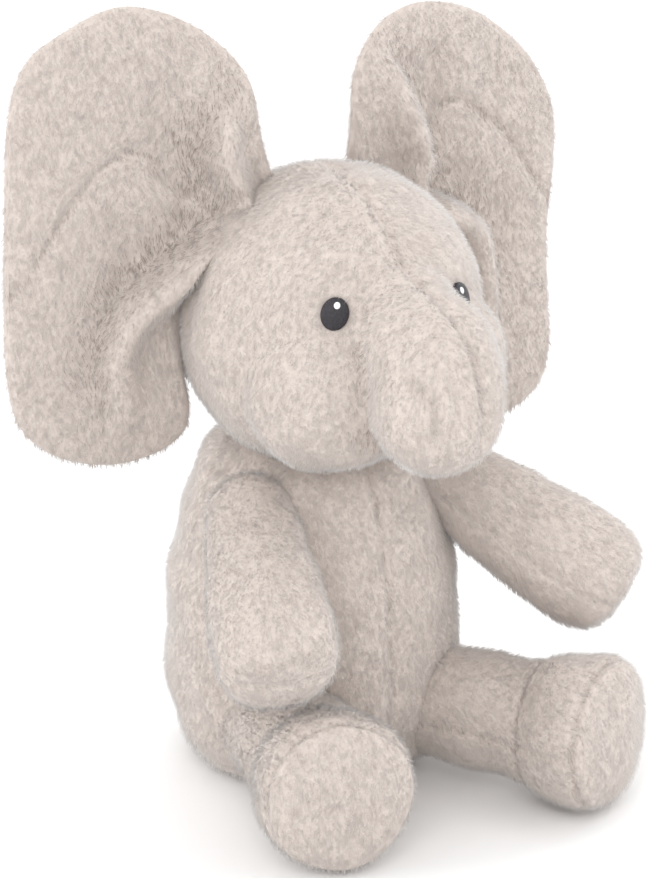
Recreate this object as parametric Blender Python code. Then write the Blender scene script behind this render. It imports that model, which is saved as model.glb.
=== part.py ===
"""Seated plush elephant whose two large ears flap.

The front faces -Y, +Z is up, and the elephant's right is -X. The origin is on the floor under the torso's
centre. The cover is cut and sewn from separate panels, each modelled as its own thin shell. Inside are the
stuffing, the ear drive in the head, the battery box in the back and a press switch in each foot.
"""
import math

import bmesh
import bpy
from mathutils import Matrix, Vector

# Driving dimensions, in metres and degrees.
SKIN = 0.0018                          # thickness of the sewn cover
GAP = 0.0003                           # clearance between touching pieces
RUN = 0.0009                           # clearance between moving soft pieces
NECK_RUN = 0.0022                      # the same between the head and the dish that it turns in

HEAD_CENTRE = Vector((0, -0.012, 0.179))
HEAD_RADIUS = 0.058
TRUNK_PATH = [((0, -0.050, 0.184), 0.020), ((0, -0.072, 0.184), 0.0225),
              ((0, -0.086, 0.177), 0.0235), ((0, -0.091, 0.165), 0.0225)]
FACE_SEAM_Y = 0.004                    # seam between the face panels and the back of the head

EYE_DIRECTION = Vector((0.027, -0.0455, 0.017)).normalized()
EYE_HALF_WIDTH = 0.0050
EYE_HALF_HEIGHT = 0.0059
EYE_TILT = 15.0                        # how far the eye's top leans to the middle of the face
EYE_BACK, EYE_FRONT = -0.0018, 0.0003  # the embroidery's back and front, from the head's radius
GLINT_RADIUS = 0.0011
GLINT_HEIGHT = 0.0030                  # the white stitches' centre, above the eye's

TORSO_OUTLINE = [(0.040, 0.000), (0.050, 0.009), (0.0555, 0.028), (0.057, 0.050), (0.0555, 0.074),
                 (0.052, 0.094), (0.047, 0.110), (0.041, 0.124), (0.033, 0.134)]
BASE_SEAM_Z = 0.007
SIDE_SEAM_Y = 0.004

SHOULDER = Vector((0.042, -0.024, 0.112))
ARM_LENGTH = 0.065
ARM_AIM = {-1: Vector((-0.330, -0.800, -0.480)), 1: Vector((0.594, -0.610, -0.517))}
ARM_ROOT_RADIUS = 0.0160
HAND_RADIUS = 0.0230
HAND_SETBACK = 0.004                   # the hand's round centre, short of the arm's length
ARM_LIFT = 35.0

HIP = {-1: Vector((-0.028, -0.019, 0.027)), 1: Vector((0.028, -0.034, 0.027))}
LEG_AIM = {-1: Vector((-0.021, -0.076, 0.0035)), 1: Vector((0.034, -0.0715, 0.0035))}
LEG_OUTLINE = [(0.0235, 0.022), (0.0240, 0.050), (0.0288, 0.063), (0.0300, 0.072), (0.0285, 0.079)]
LEG_ROOT_RADIUS = 0.0235
LEG_SPREAD = 16.0
LEG_CLOSE = 6.0
SOLE_DOME = 0.004
SWITCH_RADIUS = 0.012
SWITCH_DEPTH = 0.011

EAR_SWEEP = 7.0                        # how far the ear leans back from straight sideways
EAR_HINGE_DIRECTION = Vector((0.719, 0.360, 0.594)).normalized()
EAR_HINGE_REACH = 0.059                # hinge line's distance from the head's centre
EAR_HINGE_LINE = Vector((0.021, 0.030, -0.041)).normalized()
EAR_CENTRE = (0.0258, 0.0)
EAR_HALF_WIDTH = 0.0515
EAR_HALF_HEIGHT = 0.0865
EAR_SQUARENESS = 2.3
EAR_HALF_THICKNESS = 0.007
EAR_CUP = 0.005
EAR_ARCH = [(0.095, -0.034), (0.074, -0.008), (0.054, 0.022), (0.032, 0.031), (0.012, 0.018),
            (-0.012, -0.012)]
EAR_FLAP = 15.0
LEVER_REACH = 0.024
LEVER_WIDTH = 0.007

CELL_RADIUS = 0.0071
CELL_LENGTH = 0.0505
CELL_PITCH = 0.0150
BOX_LOW = Vector((-0.0250, 0.0230, 0.0260))
BOX_HIGH = Vector((0.0250, 0.0410, 0.0840))
FLAP_HALF_WIDTH = 0.0275
FLAP_LOW_Z = 0.0250
FLAP_TOP_Z = 0.0855
FLAP_HINGE_Y = 0.0575

DRIVE_LOW = Vector((-0.0175, -0.0260, 0.1640))
DRIVE_HIGH = Vector((0.0175, 0.0100, 0.2020))
WALL = 0.0018
DRIVE_SPLIT_Y = -0.008
DRIVE_MODULE = 0.00075
PINION_TEETH = 9
GEAR_TEETH = 24

PLUSH = (0.66, 0.57, 0.52)
FILLING = (0.90, 0.90, 0.88)
BLACK = (0.02, 0.018, 0.02)
GREY_PLASTIC = (0.35, 0.36, 0.38)
WHITE_PLASTIC = (0.80, 0.80, 0.78)
STEEL = (0.62, 0.62, 0.63)
BOARD_GREEN = (0.05, 0.25, 0.12)

SIDES = {"right": -1, "left": 1}


# --- scene helpers ------------------------------------------------------------------------------------------

def clear_scene():
    for old in list(bpy.data.objects):
        bpy.data.objects.remove(old)


def material(name, colour, roughness, metallic=0.0):
    mat = bpy.data.materials.new(name)
    mat.use_nodes = True
    shader = mat.node_tree.nodes["Principled BSDF"]
    shader.inputs["Base Color"].default_value = (*colour, 1.0)
    shader.inputs["Roughness"].default_value = roughness
    shader.inputs["Metallic"].default_value = metallic
    return mat


def place(name, mesh, mat, pivot=None):
    """Adds a mesh given in world space as a named piece whose origin is its joint's pivot."""
    obj = bpy.data.objects.new(name, mesh)
    mesh.name = name
    mesh.materials.clear()
    mesh.materials.append(mat)
    if pivot is not None:
        mesh.transform(Matrix.Translation(-Vector(pivot)))
        obj.location = pivot
    mesh.shade_smooth()
    mesh.set_sharp_from_angle(angle=math.radians(40))
    bpy.context.scene.collection.objects.link(obj)
    return obj


# --- mesh helpers -------------------------------------------------------------------------------------------

def closed(verts, faces):
    """A mesh from points and faces, with coinciding points joined and its faces pointing out."""
    mesh = bpy.data.meshes.new("form")
    mesh.from_pydata([tuple(v) for v in verts], [], faces)
    bm = bmesh.new()
    bm.from_mesh(mesh)
    bmesh.ops.remove_doubles(bm, verts=bm.verts, dist=1e-6)
    bmesh.ops.recalc_face_normals(bm, faces=bm.faces)
    bm.to_mesh(mesh)
    bm.free()
    return mesh


def boolean(mesh, tool, operation):
    """The mesh joined with, cut by or limited to the tool."""
    host = bpy.data.objects.new("host", mesh)
    other = bpy.data.objects.new("tool", tool)
    for obj in (host, other):
        bpy.context.scene.collection.objects.link(obj)
    modifier = host.modifiers.new("boolean", "BOOLEAN")
    modifier.operation = operation
    modifier.solver = "EXACT"
    modifier.object = other
    depsgraph = bpy.context.evaluated_depsgraph_get()
    result = bpy.data.meshes.new_from_object(host.evaluated_get(depsgraph))
    bpy.data.objects.remove(host)
    bpy.data.objects.remove(other)
    return result


def minus(mesh, *tools):
    for tool in tools:
        mesh = boolean(mesh, tool, "DIFFERENCE")
    return mesh


def within(mesh, *tools):
    for tool in tools:
        mesh = boolean(mesh, tool, "INTERSECT")
    return mesh


def joined(mesh, *tools):
    for tool in tools:
        mesh = boolean(mesh, tool, "UNION")
    return mesh


def moved(mesh, matrix):
    copy = mesh.copy()
    copy.transform(matrix)
    return copy


def grown(mesh, amount):
    """A copy with every point moved along its normal."""
    copy = mesh.copy()
    bm = bmesh.new()
    bm.from_mesh(copy)
    bm.normal_update()
    shifts = [vert.normal * amount for vert in bm.verts]
    for vert, shift in zip(bm.verts, shifts):
        vert.co += shift
    bm.to_mesh(copy)
    bm.free()
    return copy


def hull(meshes):
    """The closed convex body round all the points of some meshes."""
    bm = bmesh.new()
    for mesh in meshes:
        for vert in mesh.vertices:
            bm.verts.new(vert.co)
    bmesh.ops.remove_doubles(bm, verts=bm.verts, dist=1e-4)
    bmesh.ops.convex_hull(bm, input=bm.verts)
    loose = [vert for vert in bm.verts if not vert.link_faces]
    bmesh.ops.delete(bm, geom=loose, context="VERTS")
    bmesh.ops.recalc_face_normals(bm, faces=bm.faces)
    mesh = bpy.data.meshes.new("hull")
    bm.to_mesh(mesh)
    bm.free()
    return mesh


def block(low, high):
    corners = [(x, y, z) for x in (low[0], high[0]) for y in (low[1], high[1]) for z in (low[2], high[2])]
    faces = [(0, 1, 3, 2), (4, 6, 7, 5), (0, 4, 5, 1), (2, 3, 7, 6), (0, 2, 6, 4), (1, 5, 7, 3)]
    return closed(corners, faces)


def prism(outline, frame, low, high):
    """A flat outline in the frame's XY plane, drawn out along its Z from low to high."""
    count = len(outline)
    verts = [frame @ Vector((x, y, z)) for z in (low, high) for x, y in outline]
    faces = [tuple(range(count)), tuple(range(count, 2 * count))]
    faces += [(i, (i + 1) % count, count + (i + 1) % count, count + i) for i in range(count)]
    return closed(verts, faces)


def turned(profile, frame, segments=20):
    """A body of revolution about the frame's Z from a profile of (radius, height), with flat ends."""
    verts = []
    for radius, height in profile:
        for step in range(segments):
            angle = 2 * math.pi * (step + 0.5) / segments
            verts.append(frame @ Vector((radius * math.cos(angle), radius * math.sin(angle), height)))
    faces = []
    for ring in range(len(profile) - 1):
        for step in range(segments):
            after = (step + 1) % segments
            a, b = ring * segments, (ring + 1) * segments
            faces.append((a + step, a + after, b + after, b + step))
    faces.append(tuple(range(segments)))
    faces.append(tuple(range((len(profile) - 1) * segments, len(profile) * segments)))
    return triangulated(closed(verts, faces))


def triangulated(mesh):
    bm = bmesh.new()
    bm.from_mesh(mesh)
    bmesh.ops.dissolve_degenerate(bm, edges=bm.edges, dist=1e-7)
    bmesh.ops.triangulate(bm, faces=bm.faces)
    bm.to_mesh(mesh)
    bm.free()
    return mesh


def cylinder(frame, radius, low, high, segments=16):
    return turned([(radius, low), (radius, high)], frame, segments)


def smooth_points(points, steps=4):
    """Points on a Catmull-Rom curve through the given ones, ends included."""
    points = [Vector(p) for p in points]
    padded = [points[0] * 2 - points[1]] + points + [points[-1] * 2 - points[-2]]
    curve = []
    for i in range(1, len(padded) - 2):
        before, start, end, after = padded[i - 1:i + 3]
        for step in range(steps):
            t = step / steps
            curve.append(0.5 * (2 * start + (end - before) * t
                                + (2 * before - 5 * start + 4 * end - after) * t ** 2
                                + (3 * start - before - 3 * end + after) * t ** 3))
    return curve + [points[-1]]


def limb_frame(root, along):
    """A frame at the root with Z along the limb and X level, to one side."""
    along = Vector(along).normalized()
    side = Vector((0, 0, 1)).cross(along).normalized()
    frame = Matrix((side, along.cross(side), along)).transposed().to_4x4()
    frame.translation = root
    return frame


def turn_about(point, axis, degrees):
    shift = Matrix.Translation(point)
    return shift @ Matrix.Rotation(math.radians(degrees), 4, Vector(axis)) @ shift.inverted()


def mirrored(vector, side):
    return Vector((vector[0] * side, vector[1], vector[2]))


def ball(centre, radius, segments=20, rings=10):
    """A sphere of rings about the X direction, with a small flat at each end."""
    angles = [math.pi * (i + 0.35) / (rings - 0.3) for i in range(rings)]
    profile = [(radius * math.sin(angle), -radius * math.cos(angle)) for angle in angles]
    return turned(profile, Matrix.Translation(centre) @ Matrix.Rotation(math.radians(90), 4, "Y"), segments)


def swept(path, segments=16):
    """A round tube along a path of (centre, radius) with round ends."""
    centres = [Vector(point) for point, _ in path]
    radii = [radius for _, radius in path]
    first = (centres[0] - centres[1]).normalized()
    last = (centres[-1] - centres[-2]).normalized()
    rings = []
    for angle in (75, 50, 25):
        turn = math.radians(angle)
        rings.append((centres[0] + first * radii[0] * math.sin(turn), radii[0] * math.cos(turn), -first))
    for i, (centre, radius) in enumerate(zip(centres, radii)):
        before = centres[max(i - 1, 0)]
        after = centres[min(i + 1, len(centres) - 1)]
        rings.append((centre, radius, (after - before).normalized()))
    for angle in (25, 50, 75):
        turn = math.radians(angle)
        rings.append((centres[-1] + last * radii[-1] * math.sin(turn), radii[-1] * math.cos(turn), last))
    verts = []
    for centre, radius, along in rings:
        side = Vector((1, 0, 0))
        up = along.cross(side).normalized()
        for step in range(segments):
            angle = 2 * math.pi * (step + 0.5) / segments
            verts.append(centre + radius * (math.cos(angle) * side + math.sin(angle) * up))
    faces = []
    for ring in range(len(rings) - 1):
        for step in range(segments):
            after = (step + 1) % segments
            a, b = ring * segments, (ring + 1) * segments
            faces.append((a + step, a + after, b + after, b + step))
    faces.append(tuple(range(segments)))
    faces.append(tuple(range((len(rings) - 1) * segments, len(rings) * segments)))
    return triangulated(closed(verts, faces))


FAR = 0.4                              # half size of the blocks that stand for one side of a plane


# --- head ---------------------------------------------------------------------------------------------------

def head_form(grow=0.0):
    skull = ball(HEAD_CENTRE, HEAD_RADIUS + grow)
    trunk = swept([(centre, radius + grow) for centre, radius in TRUNK_PATH])
    return joined(skull, trunk)


def eye_frame(side):
    """A frame on the face with Z outward, turned so that the eye's top leans to the middle."""
    direction = mirrored(EYE_DIRECTION, side)
    level = limb_frame(HEAD_CENTRE + direction * HEAD_RADIUS, direction)
    return level @ Matrix.Rotation(math.radians(side * EYE_TILT), 4, "Z")


def eye_patch(side, grow, low, high):
    """An oval through the face, of the eye's size or larger."""
    angles = [2 * math.pi * (step + 0.5) / 20 for step in range(20)]
    wide, tall = EYE_HALF_WIDTH + grow, EYE_HALF_HEIGHT + grow
    outline = [(wide * math.cos(angle), tall * math.sin(angle)) for angle in angles]
    return prism(outline, eye_frame(side), low, high)


def glint(side, radius, low, high):
    return cylinder(eye_frame(side) @ Matrix.Translation((0, GLINT_HEIGHT, 0)), radius, low, high, 12)


def ear_hinge(side):
    return HEAD_CENTRE + mirrored(EAR_HINGE_DIRECTION, side) * EAR_HINGE_REACH


def lever_frame(side):
    """A frame on the ear's hinge line with Z along it and X pointing into the head."""
    inward = -mirrored(EAR_HINGE_DIRECTION, side)
    line = mirrored(EAR_HINGE_LINE, side)
    inward = (inward - line * inward.dot(line)).normalized()
    frame = Matrix((inward, line.cross(inward), line)).transposed().to_4x4()
    frame.translation = ear_hinge(side)
    return frame


def lever_slot(side):
    """The space that the ear's lever sweeps inside the head."""
    spread = LEVER_REACH * math.sin(math.radians(EAR_FLAP + 6)) + 0.003
    outline = [(-0.003, -0.0034), (0.002, -0.0034), (LEVER_REACH + 0.002, -spread),
               (LEVER_REACH + 0.002, spread), (0.002, 0.0034), (-0.003, 0.0034)]
    half = LEVER_WIDTH / 2 + 0.0006
    return prism(outline, lever_frame(side), -half, half)


def build_head(plush, filling, thread, white_thread):
    outer = head_form()
    inner = head_form(-SKIN)
    openings = [lever_slot(side) for side in SIDES.values()]
    openings += [eye_patch(side, GAP, EYE_BACK - SKIN, EYE_FRONT + SKIN) for side in SIDES.values()]
    front = minus(outer, block((-FAR, FACE_SEAM_Y, -FAR), (FAR, FAR, FAR)))
    back = within(outer, block((-FAR, FACE_SEAM_Y + GAP, -FAR), (FAR, FAR, FAR)))
    for name, side in SIDES.items():
        half = block((GAP / 2, -FAR, -FAR), (FAR, FAR, FAR))
        half = half if side > 0 else block((-FAR, -FAR, -FAR), (-GAP / 2, FAR, FAR))
        panel = minus(within(front, half), inner, *openings)
        place(f"face_panel_{name}", panel, plush, HEAD_CENTRE)
        recess = glint(side, GLINT_RADIUS + GAP, EYE_FRONT - 2 * GAP, EYE_FRONT + SKIN)
        place(f"eye_{name}", minus(eye_patch(side, 0, EYE_BACK, EYE_FRONT), recess), thread, HEAD_CENTRE)
        place(f"eye_glint_{name}", glint(side, GLINT_RADIUS, EYE_FRONT - GAP, EYE_FRONT + GAP), white_thread,
              HEAD_CENTRE)
    place("head_back_panel", minus(back, inner, *openings), plush, HEAD_CENTRE)

    room = block(DRIVE_LOW - Vector((GAP, GAP, GAP)), DRIVE_HIGH + Vector((GAP, GAP, GAP)))
    stuffing = minus(head_form(-SKIN - GAP), room, *[lever_slot(side) for side in SIDES.values()])
    place("head_stuffing", stuffing, filling, HEAD_CENTRE)


def gear_outline(teeth, root, tip):
    """Points round a spur gear with plain straight-sided teeth."""
    points = []
    for tooth in range(teeth):
        for share, radius in ((-0.30, root), (-0.16, tip), (0.16, tip), (0.30, root)):
            angle = 2 * math.pi * (tooth + share) / teeth
            points.append((radius * math.cos(angle), radius * math.sin(angle)))
    return points


def drive_frame(x, z):
    """A frame with its Z along world -Y, for the drive's shafts."""
    return Matrix.Translation((x, 0, z)) @ Matrix.Rotation(math.radians(90), 4, "X")


def build_drive(plastic, white, steel):
    """Two-part gearbox with the motor, its pinion and the gear that works the ears' levers."""
    inner = block(DRIVE_LOW + Vector((WALL, WALL, WALL)), DRIVE_HIGH - Vector((WALL, WALL, WALL)))
    outer = block(DRIVE_LOW, DRIVE_HIGH)
    pinion_tip = DRIVE_MODULE * (PINION_TEETH + 1) / 2
    gear_tip = DRIVE_MODULE * (GEAR_TEETH + 1) / 2
    gear_z = DRIVE_LOW.z + WALL + gear_tip + 0.0012
    pinion_z = gear_z + gear_tip + pinion_tip + GAP
    # The motor stands in a round hole through the rear shell.
    hole = cylinder(drive_frame(0, pinion_z), 0.0052, -0.03, 0.03, 20)
    front = minus(outer, inner, block((-FAR, DRIVE_SPLIT_Y, -FAR), (FAR, FAR, FAR)))
    rear = minus(outer, inner, block((-FAR, -FAR, -FAR), (FAR, DRIVE_SPLIT_Y + GAP, FAR)), hole)
    place("gearbox_front_shell", front, white, HEAD_CENTRE)
    place("gearbox_rear_shell", rear, white, HEAD_CENTRE)
    place("motor", cylinder(drive_frame(0, pinion_z), 0.0048, -0.0098, 0.006, 20), steel, HEAD_CENTRE)
    pinion = prism(gear_outline(PINION_TEETH, pinion_tip * 0.7, pinion_tip), drive_frame(0, pinion_z),
                   0.0004, 0.0060)
    place("motor_pinion", moved(pinion, Matrix.Translation((0, -0.0150, 0))), steel, (0, -0.0160, pinion_z))
    gear = prism(gear_outline(GEAR_TEETH, gear_tip * 0.9, gear_tip), drive_frame(0, gear_z), 0.0004, 0.0050)
    place("drive_gear", moved(gear, Matrix.Translation((0, -0.0150, 0))), plastic, (0, -0.0160, gear_z))


# --- ears ---------------------------------------------------------------------------------------------------

def ear_frame(side):
    """A frame on the ear's hinge with X outward, Y up and Z out of the ear's front."""
    lean = math.radians(EAR_SWEEP)
    outward = Vector((side * math.cos(lean), math.sin(lean), 0))
    front = Vector((side * math.sin(lean), -math.cos(lean), 0))
    frame = Matrix((outward, Vector((0, 0, 1)), front)).transposed().to_4x4()
    frame.translation = ear_hinge(side)
    return frame


def ear_sheet(side, low, high, spread=1.0, segments=20):
    """One closed layer of the ear, between two levels from -1 at its back to 1 at its front."""
    rings = [0.0, 0.6, 1.0]
    layers = []
    for level in (low, high):
        layer = []
        for share in [ring * spread for ring in rings]:
            plump = math.sqrt(1 - 0.75 * share ** 2)
            for step in range(segments):
                angle = 2 * math.pi * step / segments
                cos, sin = math.cos(angle), math.sin(angle)
                power = EAR_SQUARENESS
                reach = (abs(cos) ** power + abs(sin) ** power) ** (-1 / power)
                x = EAR_CENTRE[0] + share * reach * EAR_HALF_WIDTH * cos
                y = EAR_CENTRE[1] + share * reach * EAR_HALF_HEIGHT * sin
                z = EAR_CUP * share ** 2 + EAR_HALF_THICKNESS * plump * level
                layer.append(Vector((x, y, z)))
        layers.append(layer)
    verts = [ear_frame(side) @ point for layer in layers for point in layer]
    size = len(layers[0])
    faces = []
    for ring in range(len(rings) - 1):
        for step in range(segments):
            after = (step + 1) % segments
            a, b, c, d = (ring * segments + step, ring * segments + after,
                          (ring + 1) * segments + after, (ring + 1) * segments + step)
            for start in (0, size):
                faces += [(start + a, start + c, start + d), (start + a, start + b, start + c)]
    rim = (len(rings) - 1) * segments
    for step in range(segments):
        after = (step + 1) % segments
        faces.append((rim + step, rim + after, size + rim + after, size + rim + step))
    faces = [face for face in faces if len({tuple(verts[i]) for i in face}) == len(face)]
    return triangulated(closed(verts, faces))


def head_room(side):
    """The space that the head needs beside the ear at every angle of its flap."""
    head = ball(HEAD_CENTRE, HEAD_RADIUS + 0.0032, 20, 10)
    line = mirrored(EAR_HINGE_LINE, side)
    return [moved(head, turn_about(ear_hinge(side), line, angle)) for angle in (-EAR_FLAP, EAR_FLAP)]


def build_ear(name, side, plush, filling, plastic):
    room = head_room(side)
    arch = [(p.x, p.y) for p in smooth_points([(*p, 0) for p in EAR_ARCH], 3)]
    arch += [(-0.060, -0.012), (-0.060, -0.140), (0.130, -0.140), (0.130, -0.034)]
    low_side = prism(arch, ear_frame(side), -0.03, 0.03)
    high_side = prism([(x, y + GAP) for x, y in arch], ear_frame(side), -0.03, 0.03)
    front = minus(ear_sheet(side, 0.76, 1.0), *room)
    hinge = ear_hinge(side)
    place(f"ear_front_lower_{name}", within(front, low_side), plush, hinge)
    place(f"ear_front_upper_{name}", minus(front, high_side), plush, hinge)
    batting = minus(ear_sheet(side, -0.20, 0.68, 0.97), *room)

    blade = minus(ear_sheet(side, -0.66, -0.34, 0.72), *room)
    half = LEVER_WIDTH / 2
    bar = prism([(-0.011, -0.0016), (LEVER_REACH, -0.0016), (LEVER_REACH, 0.0016), (-0.011, 0.0016)],
                lever_frame(side), -half, half)
    room_for_bar = grown(bar, 0.0008)
    place(f"ear_back_{name}", minus(ear_sheet(side, -1.0, -0.76), *room, room_for_bar), plush, hinge)
    place(f"ear_batting_{name}", minus(batting, room_for_bar), filling, hinge)
    place(f"ear_paddle_{name}", joined(blade, bar), plastic, hinge)


# --- arms ---------------------------------------------------------------------------------------------------

def arm_frame(side):
    return limb_frame(mirrored(SHOULDER, side), ARM_AIM[side])


def limb_profile(root_radius, outline, tip_height):
    """A limb's profile: a round root, its outline, and a small flat at the tip."""
    root = [(root_radius * math.sin(math.radians(a)), -root_radius * math.cos(math.radians(a)))
            for a in (15, 50, 85)]
    return root + outline + [(0.3 * outline[-1][0], tip_height)]


def arm_profile():
    outline = [(ARM_ROOT_RADIUS + 0.0015, 0.014), (0.0205, 0.034), (HAND_RADIUS, ARM_LENGTH - 0.008)]
    middle = ARM_LENGTH - HAND_SETBACK
    hand = [(HAND_RADIUS * math.cos(math.radians(a)), middle + HAND_RADIUS * math.sin(math.radians(a)))
            for a in (20, 55)]
    return limb_profile(ARM_ROOT_RADIUS, outline + hand, middle + HAND_RADIUS)


def arm_form(side, grow=0.0):
    return grown(turned(arm_profile(), arm_frame(side), 12), grow)


def arm_lift_axis(side):
    return -(arm_frame(side).to_3x3() @ Vector((1, 0, 0)))


def arm_room(side):
    """The space that the arm's root needs in the torso, over its whole lift."""
    reach = [(r, h) for r, h in arm_profile() if h < 0.036]
    root = grown(turned(reach, arm_frame(side), 12), RUN)
    pivot = mirrored(SHOULDER, side)
    return hull([moved(root, turn_about(pivot, arm_lift_axis(side), angle)) for angle in (0, ARM_LIFT)])


def build_arm(name, side, plush, filling):
    frame = arm_frame(side)
    outer = arm_form(side)
    inner = arm_form(side, -SKIN)
    far = FAR / 2
    upper = moved(block((-far, GAP / 2, -far), (far, far, far)), frame)
    under = moved(block((-far, -far, -far), (far, -GAP / 2, far)), frame)
    pivot = mirrored(SHOULDER, side)
    place(f"arm_upper_panel_{name}", minus(within(outer, upper), inner), plush, pivot)
    place(f"arm_under_panel_{name}", minus(within(outer, under), inner), plush, pivot)
    place(f"arm_stuffing_{name}", arm_form(side, -SKIN - GAP), filling, pivot)


# --- legs ---------------------------------------------------------------------------------------------------

def leg_frame(side):
    return limb_frame(HIP[side], LEG_AIM[side])


def leg_form(side, grow=0.0):
    profile = limb_profile(LEG_ROOT_RADIUS, LEG_OUTLINE, LEG_OUTLINE[-1][1])[:-1]
    return grown(turned(profile, leg_frame(side), 16), grow)


def leg_room(side):
    """The space that the leg's root needs in the torso, from closed to spread."""
    profile = limb_profile(LEG_ROOT_RADIUS, [(LEG_ROOT_RADIUS, 0.020), (LEG_ROOT_RADIUS, 0.045)], 0.045)[:-1]
    root = grown(turned(profile, leg_frame(side), 16), RUN)
    pivot = HIP[side]
    angles = (-side * LEG_CLOSE, 0, side * LEG_SPREAD)
    return hull([moved(root, turn_about(pivot, (0, 0, 1), angle)) for angle in angles])


def build_leg(name, side, plush, filling, plastic, white):
    frame = leg_frame(side)
    pivot = HIP[side]
    edge_radius, edge = LEG_OUTLINE[-1]
    outer = leg_form(side)
    cut = edge - 0.0008
    trimmed = minus(outer, moved(block((-0.1, -0.1, cut), (0.1, 0.1, 0.2)), frame))
    inner = joined(leg_form(side, -SKIN), cylinder(frame, edge_radius - SKIN, edge - 0.012, edge + 0.004))
    for label, low, high in (("upper", GAP / 2, 0.1), ("under", -0.1, -GAP / 2)):
        half = moved(block((-0.1, low, -0.1), (0.1, high, 0.2)), frame)
        place(f"leg_{label}_panel_{name}", minus(within(trimmed, half), inner), plush, pivot)
    rim = cut + GAP + SKIN
    dome = [(edge_radius * math.cos(math.radians(a)), rim + SOLE_DOME * math.sin(math.radians(a)))
            for a in (0, 30, 55, 80)]
    sole = turned([(edge_radius, cut + GAP)] + dome, frame)
    place(f"foot_sole_{name}", sole, plush, pivot)

    behind_sole = moved(block((-0.1, -0.1, -0.1), (0.1, 0.1, cut - GAP)), frame)
    crown = cut - 2 * GAP
    base = crown - SWITCH_DEPTH
    pocket = cylinder(frame, SWITCH_RADIUS + GAP, base - GAP, edge + 0.01)
    stuffing = within(leg_form(side, -SKIN - GAP), behind_sole)
    place(f"leg_stuffing_{name}", minus(stuffing, pocket), filling, pivot)
    cup = minus(cylinder(frame, SWITCH_RADIUS, base, crown),
                cylinder(frame, SWITCH_RADIUS - WALL, base + WALL, crown + 0.01))
    place(f"foot_switch_cup_{name}", cup, white, pivot)
    button = cylinder(frame, SWITCH_RADIUS - WALL - GAP, crown - 0.0035, crown)
    place(f"foot_switch_button_{name}", button, plastic, frame @ Vector((0, 0, crown)))


# --- torso --------------------------------------------------------------------------------------------------

def torso_form(grow=0.0):
    return grown(turned(TORSO_OUTLINE, Matrix.Identity(4), 20), grow)


def build_torso(plush, filling, plastic):
    room = [ball(HEAD_CENTRE, HEAD_RADIUS + NECK_RUN)]
    for side in SIDES.values():
        room += [arm_room(side), leg_room(side)]
    flap_block = block((-FLAP_HALF_WIDTH, 0.030, FLAP_LOW_Z), (FLAP_HALF_WIDTH, FAR, FLAP_TOP_Z - GAP))
    hole_half = FLAP_HALF_WIDTH + GAP
    flap_hole = block((-hole_half, 0.030, FLAP_LOW_Z - GAP), (hole_half, FAR, FLAP_TOP_Z))
    shell = minus(torso_form(), torso_form(-SKIN))
    place("access_flap", within(shell, flap_block), plush, (0, FLAP_HINGE_Y, FLAP_TOP_Z))
    shell = minus(shell, flap_hole, *room)
    place("torso_base_panel", minus(shell, block((-FAR, -FAR, BASE_SEAM_Z), (FAR, FAR, FAR))), plush)
    wall = within(shell, block((-FAR, -FAR, BASE_SEAM_Z + GAP), (FAR, FAR, FAR)))
    place("torso_back_panel", within(wall, block((-FAR, SIDE_SEAM_Y + GAP, -FAR), (FAR, FAR, FAR))), plush)
    for name, low, high in (("right", -FAR, -GAP / 2), ("left", GAP / 2, FAR)):
        half = block((low, -FAR, -FAR), (high, SIDE_SEAM_Y, FAR))
        place(f"torso_front_panel_{name}", within(wall, half), plush)

    pocket = block((-0.0284, 0.0225, 0.0250), (0.0284, FAR, 0.0852))
    board_pocket = block((-0.0215, 0.0160, 0.0330), (0.0215, 0.0300, 0.0770))
    speaker_pocket = cylinder(drive_frame(0, 0.055), 0.0186, -0.020, -0.0030, 20)
    stuffing = minus(torso_form(-SKIN - GAP), pocket, board_pocket, speaker_pocket, *room)
    place("torso_stuffing", stuffing, filling)

    place("circuit_board", block((-0.0200, 0.0176, 0.0345), (0.0200, 0.0192, 0.0755)),
          material("board", BOARD_GREEN, 0.5))
    speaker = turned([(0.0110, -0.0155), (0.0180, -0.0070), (0.0180, -0.0040)], drive_frame(0, 0.055))
    place("speaker", speaker, plastic)


def build_battery_box(plastic, white, steel):
    """An open tray with three cells side by side, its door and the door's screw."""
    inner = block(BOX_LOW + Vector((WALL, WALL, WALL)), Vector((BOX_HIGH.x - WALL, FAR, BOX_HIGH.z - WALL)))
    tray = minus(block(BOX_LOW, BOX_HIGH), inner)
    place("battery_box", tray, plastic)
    screw_z = BOX_HIGH.z - 0.0040
    door_low = (BOX_LOW.x, BOX_HIGH.y + GAP, BOX_LOW.z)
    door = block(door_low, (BOX_HIGH.x, BOX_HIGH.y + GAP + WALL, BOX_HIGH.z))
    head_depth = BOX_HIGH.y + GAP + WALL
    screw_frame = drive_frame(0, screw_z)
    door = minus(door, cylinder(screw_frame, 0.0016, -head_depth - 0.01, -BOX_HIGH.y + 0.01, 12))
    place("battery_door", door, plastic)
    screw = turned([(0.0026, -head_depth - 0.0016), (0.0026, -head_depth - GAP), (0.0013, -head_depth - GAP),
                    (0.0013, -head_depth + 0.0045)], screw_frame, 12)
    place("battery_door_screw", screw, steel)
    middle_y = (BOX_LOW.y + WALL + BOX_HIGH.y) / 2
    base_z = BOX_LOW.z + WALL + 0.0008
    for number, x in enumerate((-CELL_PITCH, 0, CELL_PITCH), 1):
        frame = Matrix.Translation((x, middle_y, base_z))
        profile = [(CELL_RADIUS, 0), (CELL_RADIUS, CELL_LENGTH - 0.0015), (0.0028, CELL_LENGTH - 0.0015),
                   (0.0028, CELL_LENGTH)]
        place(f"battery_cell_{number}", turned(profile, frame, 16), white)


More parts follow.
